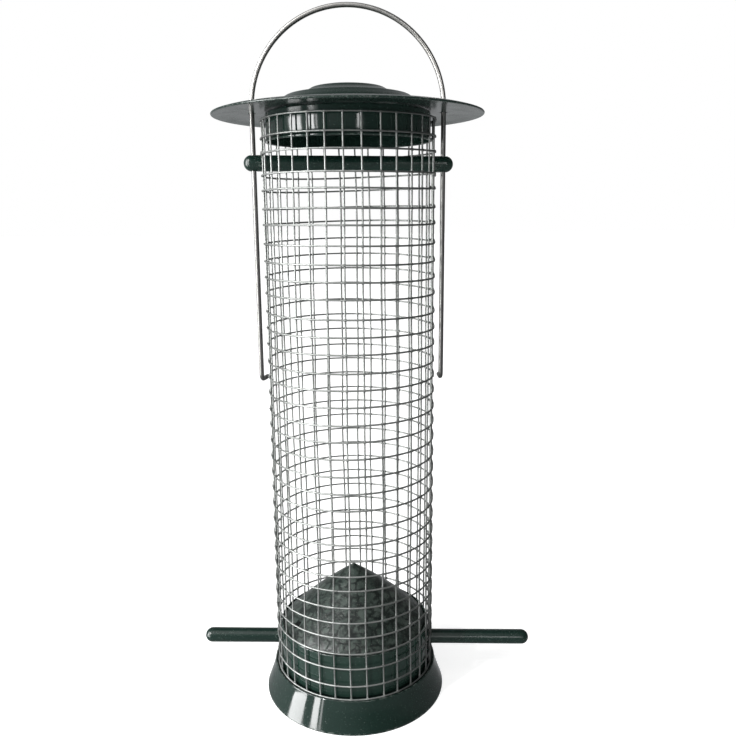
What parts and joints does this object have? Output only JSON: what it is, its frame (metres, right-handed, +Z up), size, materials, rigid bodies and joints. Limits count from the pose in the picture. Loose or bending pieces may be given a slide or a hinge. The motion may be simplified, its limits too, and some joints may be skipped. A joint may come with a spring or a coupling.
{
  "type": "hanging bird feeder",
  "caption": "Hanging bird feeder: a welded wire tube on a flared base with a seed cone, a perch and a cross rod, a lid with a plug, and a sliding wire handle.",
  "frame": {"origin": "inside of the handle's crown, at the middle of its underside, where the hook or branch bears", "axes": "+Z up, along the tube's centre line; X across the feeder, along the perch, the cross rod and the handle's two legs; -Y towards the side the picture was taken from"},
  "size_m": [0.136, 0.0988, 0.2681],
  "materials": {
    "gloss_green": "high gloss",
    "cup_green": "gloss",
    "cone_green": "satin",
    "rod_green": "satin plastic coating",
    "galvanised_wire": "galvanised",
    "handle_steel": "drawn wire, bright"
  },
  "bodies": {
    "feeder": {"base_skirt": "gloss_green", "base_cup": "cup_green", "seed_cone": "cone_green", "mesh_tube": "galvanised_wire", "top_rod": "rod_green"},
    "lid": {"lid_cap": "gloss_green", "lid_plug": "gloss_green"},
    "handle": {"handle_wire": "handle_steel"},
    "perch": {"perch_rod": "rod_green"}
  },
  "joints": [
    {"name": "lid_lift", "type": "slide", "parent": "feeder", "child": "lid", "axis": [0, 0, 1], "range_m": [0, 0.037]},
    {"name": "handle_slide", "type": "slide", "parent": "lid", "child": "handle", "axis": [0, 0, 1], "range_m": [0, 0.038]},
    {"name": "perch_slide", "type": "slide", "parent": "feeder", "child": "perch", "axis": [0.9995, 0, -0.0305], "range_m": [-0.038, 0.027]}
  ]
}
